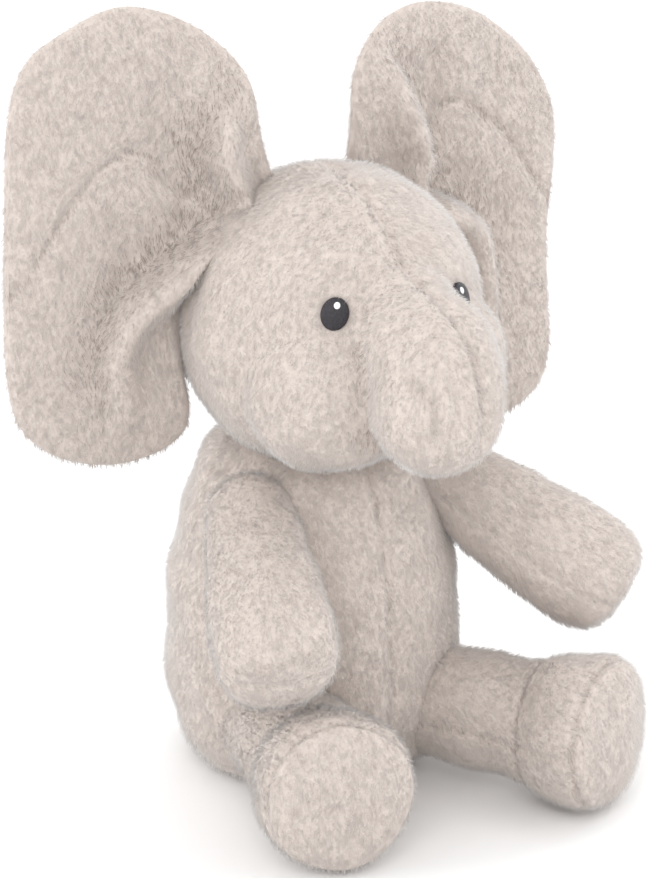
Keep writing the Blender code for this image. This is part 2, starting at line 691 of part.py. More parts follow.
def main():
    clear_scene()
    plush = material("plush", PLUSH, 0.95)
    filling = material("filling", FILLING, 0.95)
    thread = material("eye_thread", BLACK, 0.6)
    white_thread = material("glint_thread", FILLING, 0.6)
    plastic = material("grey_plastic", GREY_PLASTIC, 0.45)
    white = material("white_plastic", WHITE_PLASTIC, 0.45)
    steel = material("steel", STEEL, 0.35, 1.0)
    build_torso(plush, filling, plastic)
    build_battery_box(plastic, white, steel)
    build_head(plush, filling, thread, white_thread)
    build_drive(plastic, white, steel)
    for name, side in SIDES.items():
        build_ear(name, side, plush, filling, plastic)
        build_arm(name, side, plush, filling)
        build_leg(name, side, plush, filling, plastic, white)


main()
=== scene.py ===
"""Looks of the seated plush elephant: sewn covers with pile, embroidered eyes, finishes for the parts inside."""
import math

import bmesh
import bpy
import numpy as np
from mathutils import Matrix, Vector


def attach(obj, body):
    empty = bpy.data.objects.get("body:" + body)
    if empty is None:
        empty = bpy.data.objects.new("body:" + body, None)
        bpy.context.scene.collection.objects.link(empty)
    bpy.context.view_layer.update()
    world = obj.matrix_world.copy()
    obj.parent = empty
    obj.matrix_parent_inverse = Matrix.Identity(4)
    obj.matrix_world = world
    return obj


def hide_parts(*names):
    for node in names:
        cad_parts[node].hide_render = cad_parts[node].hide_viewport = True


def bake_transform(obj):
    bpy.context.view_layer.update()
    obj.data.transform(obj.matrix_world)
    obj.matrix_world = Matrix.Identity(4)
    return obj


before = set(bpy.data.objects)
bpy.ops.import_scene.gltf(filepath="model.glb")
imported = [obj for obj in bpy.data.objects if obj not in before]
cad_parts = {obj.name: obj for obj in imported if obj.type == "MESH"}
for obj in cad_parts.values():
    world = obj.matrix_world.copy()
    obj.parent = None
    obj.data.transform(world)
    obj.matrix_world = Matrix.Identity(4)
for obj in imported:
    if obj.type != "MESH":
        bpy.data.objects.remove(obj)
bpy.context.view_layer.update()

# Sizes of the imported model, in metres.
HEAD_CENTRE = np.array((0, -0.012, 0.179))
HEAD_RADIUS = 0.0562
TRUNK_PATH = [((0, -0.050, 0.184), 0.0215), ((0, -0.069, 0.183), 0.0228),
              ((-0.0020, -0.0835, 0.176), 0.0235), ((-0.0050, -0.0885, 0.1650), 0.0228)]
TRUNK_CREASE = np.array([(-0.012, -0.066, 0.196), (-0.020, -0.067, 0.186), (-0.0235, -0.069, 0.172),
                         (-0.0235, -0.070, 0.158), (-0.018, -0.071, 0.147)])
EYE_DIRECTION = {-1: (-0.486, -0.817, 0.305), 1: (0.465, -0.848, 0.255)}
TORSO_OUTLINE = [(0.036, 0.0005), (0.0465, 0.006), (0.0540, 0.024), (0.0555, 0.050), (0.0540, 0.074),
                 (0.0505, 0.094), (0.0455, 0.110), (0.040, 0.124), (0.030, 0.134)]
SIDE_SEAM_Y = 0.004
BASE_SEAM_Z = 0.007
FLAP_HALF_WIDTH, FLAP_LOW_Z, FLAP_TOP_Z = 0.0275, 0.0250, 0.0855
SHOULDER = np.array((0.042, -0.024, 0.112))
ARM_SHARE = {-1: 0.93, 1: 1.0}          # the near hand is drawn up a little closer to its shoulder
ARM_AIM = {-1: (-0.330, -0.800, -0.480), 1: (0.594, -0.610, -0.517)}
HIP = {-1: (-0.028, -0.019, 0.027), 1: (0.028, -0.034, 0.027)}
LEG_AIM = {-1: (-0.021, -0.076, 0.0035), 1: (0.034, -0.0715, 0.0035)}
EAR_HINGE_DIRECTION = np.array((0.719, 0.360, 0.594)) / np.linalg.norm((0.719, 0.360, 0.594))
EAR_HINGE_REACH = 0.059
EAR_SWEEP = math.radians(7)
SIDES = {"right": -1, "left": 1}
ARM_ROOT_RADIUS = 0.0160
LEG_ROOT_RADIUS = 0.0218
SOLE_RADIUS, SOLE_AT, SOLE_DOME = 0.0284, 0.0780, 0.0080
SOLE_SEAM_AT = 0.0786
ANKLE_SEAM_AT = 0.0520

VOXEL = 0.0014
PILE_LENGTH = 0.0033
PILE_WIDTH = 0.00028
PILE_DENSITY = 1.05e6                  # fibres on a square metre


# --- mesh tools ---------------------------------------------------------------------------------------------

def add(name, mesh):
    obj = bpy.data.objects.new(name, mesh)
    mesh.name = name
    bpy.context.scene.collection.objects.link(obj)
    return obj


def mesh_of(verts, faces):
    mesh = bpy.data.meshes.new("form")
    mesh.from_pydata([tuple(v) for v in verts], [], faces)
    bm = bmesh.new()
    bm.from_mesh(mesh)
    bmesh.ops.remove_doubles(bm, verts=bm.verts, dist=1e-6)
    bmesh.ops.recalc_face_normals(bm, faces=bm.faces)
    bm.to_mesh(mesh)
    bm.free()
    return mesh


def curve_points(points, steps=8, closed=False):
    """Points on a Catmull-Rom curve through the given ones."""
    pts = np.array(points, float)
    if closed:
        pts = np.concatenate([pts[-1:], pts, pts[:2]])
    else:
        pts = np.concatenate([[2 * pts[0] - pts[1]], pts, [2 * pts[-1] - pts[-2]]])
    t = np.linspace(0, 1, steps, endpoint=False)[:, None]
    spans = []
    for a, b, c, d in zip(pts[:-3], pts[1:-2], pts[2:-1], pts[3:]):
        spans.append(0.5 * (2 * b + (c - a) * t + (2 * a - 5 * b + 4 * c - d) * t ** 2
                            + (3 * b - a - 3 * c + d) * t ** 3))
    if not closed:
        spans.append(pts[-2:-1])
    return np.concatenate(spans)


def tube(centres, radii, segments=32):
    """A round body along a path, its ends closed with half spheres."""
    centres, radii = np.array(centres, float), np.array(radii, float)
    first = centres[0] - centres[1]
    last = centres[-1] - centres[-2]
    first, last = first / np.linalg.norm(first), last / np.linalg.norm(last)
    turns = np.radians((88, 70, 50, 30, 12))
    rings = [(centres[0] + first * radii[0] * math.sin(t), radii[0] * math.cos(t)) for t in turns]
    rings += list(zip(centres, radii))
    rings += [(centres[-1] + last * radii[-1] * math.sin(t), radii[-1] * math.cos(t)) for t in turns[::-1]]
    path = np.array([c for c, _ in rings])
    along = np.gradient(path, axis=0)
    verts = []
    guide = np.array((1, 0, 0)) if abs(last[0]) < 0.8 else np.array((0, 0, 1))
    for (centre, radius), way in zip(rings, along):
        way = way / np.linalg.norm(way)
        side = guide - way * (guide @ way)
        side = side / np.linalg.norm(side)
        up = np.cross(way, side)
        for k in range(segments):
            a = 2 * math.pi * k / segments
            verts.append(centre + radius * (math.cos(a) * side + math.sin(a) * up))
    faces = []
    for r in range(len(rings) - 1):
        for k in range(segments):
            n = (k + 1) % segments
            faces.append((r * segments + k, r * segments + n, (r + 1) * segments + n, (r + 1) * segments + k))
    faces.append(tuple(range(segments)))
    faces.append(tuple(range((len(rings) - 1) * segments, len(rings) * segments)))
    return mesh_of(verts, faces)


def turned(profile, segments=96):
    """A body of revolution about Z from a profile of (radius, height)."""
    verts, faces = [], []
    for radius, height in profile:
        for k in range(segments):
            a = 2 * math.pi * k / segments
            verts.append((radius * math.cos(a), radius * math.sin(a), height))
    for r in range(len(profile) - 1):
        for k in range(segments):
            n = (k + 1) % segments
            faces.append((r * segments + k, r * segments + n, (r + 1) * segments + n, (r + 1) * segments + k))
    faces.append(tuple(range(segments)))
    faces.append(tuple(range((len(profile) - 1) * segments, len(profile) * segments)))
    return mesh_of(verts, faces)


def block(low, high):
    corners = [(x, y, z) for x in (low[0], high[0]) for y in (low[1], high[1]) for z in (low[2], high[2])]
    sides = [(0, 1, 3, 2), (4, 6, 7, 5), (0, 4, 5, 1), (2, 3, 7, 6), (0, 2, 6, 4), (1, 5, 7, 3)]
    return mesh_of(corners, sides)


def evaluated(mesh, *modifiers):
    """The mesh with modifiers, each a (kind, settings), applied in turn."""
    obj = add("work", mesh)
    for kind, settings in modifiers:
        modifier = obj.modifiers.new(kind, kind)
        for key, value in settings.items():
            setattr(modifier, key, value)
    result = bpy.data.meshes.new_from_object(obj.evaluated_get(bpy.context.evaluated_depsgraph_get()))
    bpy.data.objects.remove(obj)
    return result


def cut(mesh, tool):
    cutter = add("cutter", tool)
    result = evaluated(mesh, ("BOOLEAN", {"operation": "DIFFERENCE", "solver": "EXACT", "object": cutter}))
    bpy.data.objects.remove(cutter)
    return result


def welded(meshes, voxel=VOXEL, smoothing=6, factor=0.5):
    """One even skin round some overlapping closed bodies."""
    bm = bmesh.new()
    for mesh in meshes:
        bm.from_mesh(mesh)
    whole = bpy.data.meshes.new("whole")
    bm.to_mesh(whole)
    bm.free()
    skin = evaluated(whole, ("REMESH", {"mode": "VOXEL", "voxel_size": voxel}),
                     ("SMOOTH", {"iterations": smoothing, "factor": factor}))
    return largest_part(skin)


def largest_part(mesh):
    """The mesh without any island but its largest, such as the skin of a sealed hollow."""
    bm = bmesh.new()
    bm.from_mesh(mesh)
    bm.verts.ensure_lookup_table()
    seen, islands = set(), []
    for vert in bm.verts:
        if vert in seen:
            continue
        island, stack = [], [vert]
        seen.add(vert)
        while stack:
            here = stack.pop()
            island.append(here)
            for edge in here.link_edges:
                there = edge.other_vert(here)
                if there not in seen:
                    seen.add(there)
                    stack.append(there)
        islands.append(island)
    islands.sort(key=len)
    for island in islands[:-1]:
        bmesh.ops.delete(bm, geom=island, context="VERTS")
    bm.to_mesh(mesh)
    bm.free()
    return mesh


def points_of(mesh):
    co = np.empty(len(mesh.vertices) * 3, np.float32)
    mesh.vertices.foreach_get("co", co)
    return co.reshape(-1, 3).astype(float)


def normals_of(mesh):
    co = np.empty(len(mesh.vertices) * 3, np.float32)
    mesh.vertex_normals.foreach_get("vector", co)
    return co.reshape(-1, 3).astype(float)


def set_points(mesh, points):
    mesh.vertices.foreach_set("co", points.astype(np.float32).ravel())
    mesh.update()


def smooth_noise(points, scale, seed):
    """Soft lumps between -1 and 1, the sum of a few waves that run in seeded directions."""
    rng = np.random.default_rng(seed)
    total = np.zeros(len(points))
    for _ in range(7):
        way = rng.normal(size=3)
        way /= np.linalg.norm(way)
        total += np.sin(points @ way * 2 * math.pi / (scale * rng.uniform(0.7, 1.5)) + rng.uniform(0, 6.28))
    return total / 3.5


def line_distance(points, line):
    """Each point's distance to a polyline, and how far along it, from 0 to 1, the nearest place is."""
    line = np.asarray(line, float)
    best = np.full(len(points), 1e9)
    share = np.zeros(len(points))
    for i, (a, b) in enumerate(zip(line[:-1], line[1:])):
        ab = b - a
        t = np.clip((points - a) @ ab / max(ab @ ab, 1e-12), 0, 1)
        d = np.linalg.norm(points - a - t[:, None] * ab, axis=1)
        nearer = d < best
        best[nearer] = d[nearer]
        share[nearer] = (i + t[nearer]) / (len(line) - 1)
    return best, share


def bell(distance, width):
    return np.exp(-(distance / width) ** 2)


def finish_skin(name, mesh, body, depth, lumps=0.0006, seed=1):
    """Presses the given depth field, and soft lumps, into a skin along its normals, and makes it a piece."""
    points, normals = points_of(mesh), normals_of(mesh)
    shift = lumps * smooth_noise(points, 0.022, seed) - depth(points, normals)
    set_points(mesh, points + normals * shift[:, None])
    mesh.polygons.foreach_set("use_smooth", np.ones(len(mesh.polygons), bool))
    piece = add(name, mesh)
    mesh.materials.append(PLUSH)
    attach(piece, body)
    return piece


def frame_of(origin, along):
    """A 4x4 frame at the origin with Z along the limb and X level."""
    along = Vector(along).normalized()
    side = Vector((0, 0, 1)).cross(along).normalized()
    matrix = Matrix((side, along.cross(side), along)).transposed().to_4x4()
    matrix.translation = Vector(origin)
    return matrix


# --- materials ----------------------------------------------------------------------------------------------

def new_material(name):
    material = bpy.data.materials.new(name)
    material.use_nodes = True
    nodes = material.node_tree.nodes
    return material, nodes, material.node_tree.links, nodes["Principled BSDF"]


def add_noise(nodes, links, scale, detail=3.0, roughness=0.6, coords=None):
    if coords is None:
        coords = nodes.new("ShaderNodeTexCoord")
    noise = nodes.new("ShaderNodeTexNoise")
    noise.inputs["Scale"].default_value = scale
    noise.inputs["Detail"].default_value = detail
    noise.inputs["Roughness"].default_value = roughness
    links.new(coords.outputs["Object"], noise.inputs["Vector"])
    return noise


def plain_plastic(name, colour, roughness, metallic=0.0, grain=900.0, strength=0.08, spread=0.12):
    """A moulded or drawn surface: fine grain in its relief and a slight drift in its tone."""
    material, nodes, links, shader = new_material(name)
    drift = add_noise(nodes, links, 60.0)
    ramp = nodes.new("ShaderNodeValToRGB")
    ramp.color_ramp.elements[0].color = (*[c * (1 - spread) for c in colour], 1)
    ramp.color_ramp.elements[1].color = (*[min(c * (1 + spread), 1) for c in colour], 1)
    links.new(drift.outputs["Fac"], ramp.inputs["Fac"])
    links.new(ramp.outputs["Color"], shader.inputs["Base Color"])
    relief = nodes.new("ShaderNodeBump")
    relief.inputs["Strength"].default_value = strength
    relief.inputs["Distance"].default_value = 0.0003
    links.new(add_noise(nodes, links, grain).outputs["Fac"], relief.inputs["Height"])
    links.new(relief.outputs["Normal"], shader.inputs["Normal"])
    shader.inputs["Roughness"].default_value = roughness
    shader.inputs["Metallic"].default_value = metallic
    return material


def plush_backing():
    """The knitted ground that the pile grows from, with the pile's own tufts and soft shade between them."""
    material, nodes, links, shader = new_material("plush_ground")
    coords = nodes.new("ShaderNodeTexCoord")
    fine = add_noise(nodes, links, 1150.0, 2.0, 0.7, coords)
    tufts = add_noise(nodes, links, 260.0, 3.0, 0.65, coords)
    mix = nodes.new("ShaderNodeMix")
    mix.data_type = "FLOAT"
    mix.inputs["Factor"].default_value = 0.5
    links.new(fine.outputs["Fac"], mix.inputs["A"])
    links.new(tufts.outputs["Fac"], mix.inputs["B"])
    ramp = nodes.new("ShaderNodeValToRGB")
    ramp.color_ramp.elements[0].position = 0.38
    ramp.color_ramp.elements[0].color = (*SHADE_TONE, 1)
    ramp.color_ramp.elements[1].position = 0.62
    ramp.color_ramp.elements[1].color = (*MID_TONE, 1)
    links.new(mix.outputs["Result"], ramp.inputs["Fac"])
    links.new(ramp.outputs["Color"], shader.inputs["Base Color"])
    relief = nodes.new("ShaderNodeBump")
    relief.inputs["Strength"].default_value = 0.55
    relief.inputs["Distance"].default_value = 0.0010
    links.new(mix.outputs["Result"], relief.inputs["Height"])
    links.new(relief.outputs["Normal"], shader.inputs["Normal"])
    shader.inputs["Roughness"].default_value = 0.95
    shader.inputs["Sheen Weight"].default_value = 0.25
    shader.inputs["Sheen Roughness"].default_value = 0.5
    shader.inputs["Specular IOR Level"].default_value = 0.15
    return material


def fibre(name, tone):
    """One of the tones of single pile fibres: the dyed tones, and a darkest one that is painted shade for fibres
    in folds and seams.
    """
    material, _, _, shader = new_material(name)
    shader.inputs["Base Color"].default_value = (*tone, 1)
    shader.inputs["Roughness"].default_value = 0.8
    shader.inputs["Sheen Weight"].default_value = 0.8
    shader.inputs["Sheen Roughness"].default_value = 0.4
    shader.inputs["Specular IOR Level"].default_value = 0.2
    return material


def stitches(name, low, high):
    """Embroidery thread laid side by side, its sheen broken by the stitch ends."""
    material, nodes, links, shader = new_material(name)
    coords = nodes.new("ShaderNodeTexCoord")
    stretch = nodes.new("ShaderNodeMapping")
    stretch.inputs["Scale"].default_value = (1.0, 0.35, 0.35)
    links.new(coords.outputs["Object"], stretch.inputs["Vector"])
    thread = nodes.new("ShaderNodeTexVoronoi")
    thread.inputs["Scale"].default_value = 2600.0
    links.new(stretch.outputs["Vector"], thread.inputs["Vector"])
    ramp = nodes.new("ShaderNodeValToRGB")
    ramp.color_ramp.elements[0].color = (*low, 1)
    ramp.color_ramp.elements[1].color = (*high, 1)
    links.new(thread.outputs["Distance"], ramp.inputs["Fac"])
    links.new(ramp.outputs["Color"], shader.inputs["Base Color"])
    relief = nodes.new("ShaderNodeBump")
    relief.inputs["Strength"].default_value = 0.6
    relief.inputs["Distance"].default_value = 0.0002
    links.new(thread.outputs["Distance"], relief.inputs["Height"])
    links.new(relief.outputs["Normal"], shader.inputs["Normal"])
    shader.inputs["Roughness"].default_value = 0.55
    return material


SHADE_TONE = (0.545, 0.476, 0.434)
MID_TONE = (0.625, 0.557, 0.512)
PILE_TONES = [(0.632, 0.560, 0.515), (0.662, 0.596, 0.553), (0.600, 0.526, 0.481),
              (0.400, 0.330, 0.293)]              # the last is painted shade, for fibres in seams and folds
PLUSH = plush_backing()
FIBRES = [fibre(f"pile_tone_{i}", tone) for i, tone in enumerate(PILE_TONES)]


# --- pile ---------------------------------------------------------------------------------------------------

def pile(skin, comb, seed, keep=None, shade=None, density=PILE_DENSITY, length=PILE_LENGTH, lean=1.08):
    """Fibres of the pile on a skin, each a thin closed point that leans the way the pile is combed.

    keep says which fibres stay, and shade how likely a fibre is to take the darkest tone, painted shade in a fold
    or seam.
    """
    mesh = skin.data
    rng = np.random.default_rng(seed)
    mesh.calc_loop_triangles()
    tris = np.empty(len(mesh.loop_triangles) * 3, np.int32)
    mesh.loop_triangles.foreach_get("vertices", tris)
    tris = tris.reshape(-1, 3)
    points, normals = points_of(mesh), normals_of(mesh)
    a, b, c = (points[tris[:, i]] for i in range(3))
    area = np.linalg.norm(np.cross(b - a, c - a), axis=1) / 2
    count = int(area.sum() * density * (1.0))
    pick = np.searchsorted(np.cumsum(area), np.sort(rng.random(count)) * area.sum())
    pick = np.minimum(pick, len(tris) - 1)
    r1, r2 = np.sqrt(rng.random(count)), rng.random(count)
    weights = np.stack([1 - r1, r1 * (1 - r2), r1 * r2], 1)
    root = (points[tris[pick]] * weights[:, :, None]).sum(1)
    normal = (normals[tris[pick]] * weights[:, :, None]).sum(1)
    normal /= np.linalg.norm(normal, axis=1)[:, None]
    if keep is not None:
        kept = keep(root, normal)
        root, normal = root[kept], normal[kept]
    count = len(root)
    way = comb(root)
    sway = np.stack([smooth_noise(root, 0.007, seed + 11 + i) for i in range(3)], 1)
    tuft = np.stack([smooth_noise(root, 0.0028, seed + 21 + i) for i in range(3)], 1)
    way = way + 0.22 * sway + 0.22 * tuft + 0.16 * rng.normal(size=(count, 3))
    way -= normal * (way * normal).sum(1)[:, None]
    way /= np.maximum(np.linalg.norm(way, axis=1), 1e-6)[:, None]
    slant = lean + 0.08 * smooth_noise(root, 0.011, seed + 5) + 0.09 * rng.normal(size=count)
    slant = np.clip(slant, 0.3, 1.35)[:, None]
    direction = normal * np.cos(slant) + way * np.sin(slant)
    reach = length * rng.uniform(0.7, 1.15, count)[:, None]
    tip = root + direction * reach
    side = np.cross(direction, normal)
    side /= np.maximum(np.linalg.norm(side, axis=1), 1e-6)[:, None]
    other = np.cross(side, direction)
    base = root - normal * 0.0004
    half = PILE_WIDTH / 2
    corners = [base + side * half, base - side * half, base + other * half * 1.2, tip]
    verts = np.stack(corners, 1).reshape(-1, 3)
    local = np.array([(0, 1, 3), (1, 2, 3), (2, 0, 3), (0, 2, 1)])
    faces = (local[None] + 4 * np.arange(count)[:, None, None]).reshape(-1, 3)
    centre = verts.reshape(count, 4, 3).mean(1)
    first = verts[faces[::4]]
    outward = np.einsum("ij,ij->i", np.cross(first[:, 1] - first[:, 0], first[:, 2] - first[:, 0]),
                        first.mean(1) - centre)
    flip = np.repeat(outward < 0, 4)
    faces[flip] = faces[flip][:, ::-1]
    fibres = bpy.data.meshes.new("pile")
    fibres.vertices.add(len(verts))
    fibres.vertices.foreach_set("co", verts.astype(np.float32).ravel())
    fibres.loops.add(faces.size)
    fibres.loops.foreach_set("vertex_index", faces.ravel().astype(np.int32))
    fibres.polygons.add(len(faces))
    fibres.polygons.foreach_set("loop_start", np.arange(0, faces.size, 3, dtype=np.int32))
    fibres.polygons.foreach_set("use_smooth", np.ones(len(faces), bool))
    tone = rng.choice(3, count, p=(0.5, 0.3, 0.2)).astype(np.int32)
    # painted shade: fibres in folds and seams take the darkest tone
    if shade is not None:
        tone[rng.random(count) < shade(root, normal)] = len(FIBRES) - 1
    for material in FIBRES:
        fibres.materials.append(material)
    fibres.polygons.foreach_set("material_index", np.repeat(tone, 4))
    fibres.update(calc_edges=True)
    shading = np.repeat(normal, 4, axis=0) + 0.35 * np.repeat(other, 4, axis=0)
    shading[3::4] = normal + 0.6 * direction
    shading /= np.linalg.norm(shading, axis=1)[:, None]
    fibres.normals_split_custom_set_from_vertices(shading.tolist())
    return fibres


def add_pile(skin, body, comb, seed, blend=None, **settings):
    piece = add(f"{skin.name}_pile", pile(skin, comb, seed, **settings))
    if blend is None:
        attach(piece, body)
    else:
        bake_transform(piece)
    return piece


def unpressed(points, normals):
    """No further depth, for a skin whose seams are already pressed in."""
    return np.zeros(len(points))


def downward(root):
    return np.tile((0.0, 0.0, -1.0), (len(root), 1))


# --- head ---------------------------------------------------------------------------------------------------

def eye_place(side):
    direction = np.array(EYE_DIRECTION[side])
    return HEAD_CENTRE + direction * HEAD_RADIUS, direction


def sphere(centre, radius, stretch=(1, 1, 1)):
    rings = [(radius * math.sin(a), -radius * math.cos(a)) for a in np.linspace(0.02, math.pi - 0.02, 48)]
    ball = turned(rings, 72)
    ball.transform(Matrix.Translation(Vector(centre)) @ Matrix.Diagonal((*stretch, 1)))
    return ball


def build_head():
    centres = curve_points([p for p, _ in TRUNK_PATH], 6)
    radii = curve_points([(r, 0) for _, r in TRUNK_PATH], 6)[:, 0]
    cheeks = [sphere(HEAD_CENTRE + (side * 0.019, -0.030, -0.014), 0.0320) for side in SIDES.values()]
    bridge = sphere(HEAD_CENTRE + (0, -0.042, 0.001), 0.0290, (0.86, 1.0, 1.05))
    skin = welded([sphere(HEAD_CENTRE, HEAD_RADIUS), tube(centres, radii), bridge, *cheeks], smoothing=22)
    dent = curve_points([(-0.021, -0.096, 0.181), (-0.018, -0.106, 0.174), (-0.019, -0.109, 0.163)], 8)

    def depth(p, n):
        front = np.clip((HEAD_CENTRE[1] - p[:, 1]) / 0.02 + 0.6, 0, 1)
        front *= np.clip((p[:, 2] - 0.150) / 0.01, 0, 1)
        pressed = 0.0013 * bell(p[:, 0], 0.0011) * front
        pressed += 0.0010 * bell(p[:, 0], 0.0045) * front
        back = (p[:, 1] > 0.004)
        pressed += 0.0010 * bell(p[:, 1] - 0.0045, 0.0012) * (p[:, 2] < 0.20)
        pressed += 0.0009 * bell(p[:, 0], 0.0011) * back
        for side in SIDES.values():
            place, _ = eye_place(side)
            near = np.linalg.norm(p - place, axis=1)
            pressed += 0.0022 * bell(near, 0.0075)
        off, _ = line_distance(p, dent)
        pressed += 0.0022 * bell(off, 0.0028)
        return pressed

    head = finish_skin("head_cover", skin, "head", depth, 0.0005, 3)
    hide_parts("face_panel_right", "face_panel_left", "head_back_panel", "head_stuffing")

    def comb(root):
        away = root - HEAD_CENTRE
        way = np.tile((0.0, 0.15, -1.0), (len(root), 1))
        way[:, 0] += 0.5 * np.sign(away[:, 0]) * (away[:, 2] > 0.02)
        return way

    def keep(root, normal):
        kept = np.ones(len(root), bool)
        for side in SIDES.values():
            place, _ = eye_place(side)
            kept &= np.linalg.norm(root - place, axis=1) > 0.0056
        return kept

    # Painted shade: fibres along the trunk crease and the centre seam of the face take the darkest tone.
    def shade(root, normal):
        crease, _ = line_distance(root, TRUNK_CREASE)
        seam = bell(root[:, 0], 0.0012) * (root[:, 1] < -0.02) * (root[:, 2] > 0.150)
        return 0.55 * bell(crease, 0.0045) + 0.22 * seam

    add_pile(head, "head", comb, 41, keep=keep, shade=shade)


def oval_pad(matrix, half_wide, half_tall, height, base, rings=14, segments=64):
    """A low crowned pad with an oval outline."""
    profile = [(1.0, base)] + [(math.cos(a), height * math.sin(a)) for a in np.linspace(0.0, 1.5, rings)]
    pad = turned([(r, h) for r, h in profile], segments)
    points = points_of(pad)
    points[:, 0] *= half_wide
    points[:, 1] *= half_tall
    points[:, 2] -= 0.5 * (points[:, 0] ** 2 + points[:, 1] ** 2) / HEAD_RADIUS
    set_points(pad, points)
    pad.transform(matrix)
    pad.polygons.foreach_set("use_smooth", np.ones(len(pad.polygons), bool))
    return pad


def build_eyes():
    """Ovals of dense dark stitching, each with a raised edge and a few white stitches near its top."""
    for name, side in SIDES.items():
        place, direction = eye_place(side)
        matrix = frame_of(place, direction) @ Matrix.Rotation(math.radians(15 * side), 4, "Z")
        patch = oval_pad(matrix, 0.0050, 0.0059, 0.0010, -0.0015)
        patch.materials.append(stitches("eye_stitches", (0.008, 0.007, 0.009), (0.030, 0.026, 0.034)))
        eye = add(f"eye_{name}_stitching", patch)
        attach(eye, "head")
        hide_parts(f"eye_{name}")
        glint_place = matrix @ Matrix.Translation((0, 0.0029, 0.0006))
        glint = oval_pad(glint_place, 0.0012, 0.0014, 0.0006, -0.0002, 6, 20)
        glint.materials.append(stitches("glint_stitches", (0.75, 0.76, 0.80), (0.90, 0.90, 0.92)))
        white = add(f"eye_{name}_glint", glint)
        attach(white, "head")
        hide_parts(f"eye_glint_{name}")


# --- ears ---------------------------------------------------------------------------------------------------

# Places on each ear, in metres outward and up from its hinge.
EAR_OUTLINES = {
    "right": [(-0.028, 0.008), (-0.023, 0.030), (-0.018, 0.053), (-0.005, 0.069), (0.013, 0.080), (0.032, 0.084),
              (0.052, 0.077), (0.067, 0.067), (0.0735, 0.047), (0.0755, 0.012), (0.077, -0.022), (0.077, -0.046),
              (0.073, -0.064), (0.060, -0.077), (0.040, -0.084), (0.022, -0.083), (0.010, -0.077),
              (0.0065, -0.068), (0.0080, -0.054), (0.0085, -0.040), (0.005, -0.026), (-0.005, -0.012),
              (-0.019, 0.000)],
    "left": [(-0.027, 0.012), (-0.026, 0.032), (-0.025, 0.051), (-0.015, 0.065), (0.001, 0.071), (0.019, 0.070),
             (0.037, 0.064), (0.054, 0.053), (0.067, 0.040), (0.0765, 0.022), (0.078, 0.000), (0.0755, -0.028),
             (0.0755, -0.054), (0.0755, -0.074), (0.070, -0.089), (0.056, -0.097), (0.036, -0.098),
             (0.018, -0.092), (0.009, -0.080), (0.0080, -0.062), (0.0085, -0.042), (0.005, -0.026),
             (-0.005, -0.012), (-0.019, 0.000)],
}
EAR_ARCH = [(0.078, -0.018), (0.066, -0.004), (0.051, 0.016), (0.032, 0.030), (0.019, 0.029), (0.008, 0.020),
            (-0.006, 0.005)]
EAR_FOLDS = {
    "right": [[(-0.003, 0.009), (-0.001, 0.016), (0.003, 0.029), (0.001, 0.039), (-0.003, 0.046), (-0.011, 0.050)],
              [(-0.003, 0.009), (0.008, -0.002), (0.023, -0.012), (0.037, -0.024), (0.044, -0.042),
               (0.042, -0.062)]],
    "left": [[(0.009, 0.003), (0.012, 0.014), (0.008, 0.028), (0.002, 0.040), (-0.004, 0.052), (-0.012, 0.058)],
             [(0.009, 0.003), (0.020, -0.002), (0.033, -0.009), (0.043, -0.022), (0.047, -0.044),
              (0.044, -0.070)]],
}
EAR_HOLLOWS = [((0.016, 0.050), 0.008, 0.0035), ((0.045, 0.043), 0.008, 0.0020), ((0.051, -0.008), 0.008, 0.0025),
               ((0.014, 0.033), 0.008, 0.0030), ((0.030, 0.006), 0.012, 0.0030)]
EAR_MIDDLE = np.array((0.030, -0.002))
PADDLE_MIDDLE = np.array((0.0258, 0.0))
PADDLE_REACH = np.array((0.0515, 0.0865))


def side_of(points, line):
    """Each point's distance to a flat polyline, negative on its right, and how far along the nearest place is."""
    distance, share = line_distance(points, line)
    index = np.minimum((share * (len(line) - 1)).astype(int), len(line) - 2)
    way, off = line[index + 1] - line[index], points - line[index]
    return np.where(way[:, 0] * off[:, 1] - way[:, 1] * off[:, 0] < 0, -distance, distance), share


def gathered(distance, crest, width, hollow):
    """The rise beside a gathered fold: a plump roll on its far side, a long slope down to it on the near side."""
    far = np.maximum(-distance, 0)
    fall = np.exp(-(np.maximum(far - width, 0) / (0.8 * width)) ** 2)
    roll = crest * (1 - np.exp(-(far / 0.0038) ** 2)) * fall
    slope = hollow * np.where(distance > 0, np.exp(-(distance / 0.013) ** 2), np.exp(-(far / 0.003) ** 2))
    return roll - slope


def ear_front(flat, name, seed):
    """How far the ear's gathered front stands forward of its even cup at each place."""
    upper, lower = (curve_points(fold, 6) for fold in EAR_FOLDS[name])
    root = np.linalg.norm(flat - upper[0], axis=1)
    opening = np.clip(root / 0.010, 0.15, 1)
    up, share = side_of(flat, upper)
    rise = gathered(-up, 0.0120, 0.009, 0.0065) * opening * (1 - 0.7 * share ** 2) * (up < 0.03)
    down, share = side_of(flat, lower)
    lobe = gathered(down, 0.0135, 0.009, 0.0070) * opening * (1 - 0.75 * share ** 2)
    rise = np.where(np.abs(up) < np.abs(down), rise, lobe)
    for place, size, deep in EAR_HOLLOWS:
        rise -= deep * bell(np.linalg.norm((flat - place) / (1, 1.6), axis=1), size)
    return rise + 0.0015 * smooth_noise(np.c_[flat, np.zeros(len(flat))], 0.050, seed)


def paddle_layer(flat):
    """Back and front of the paddle that the cover goes round, let go beyond the paddle's edge."""
    across = np.abs(flat - PADDLE_MIDDLE) / PADDLE_REACH
    share = (across ** 2.3).sum(1) ** (1 / 2.3)
    plump = np.sqrt(np.clip(1 - 0.75 * share ** 2, 0, 1))
    spare = 0.0015 - 0.05 * np.maximum(share - 0.77, 0)
    return 0.005 * share ** 2 - 0.0046 * plump - spare, 0.005 * share ** 2 - 0.0024 * plump + spare


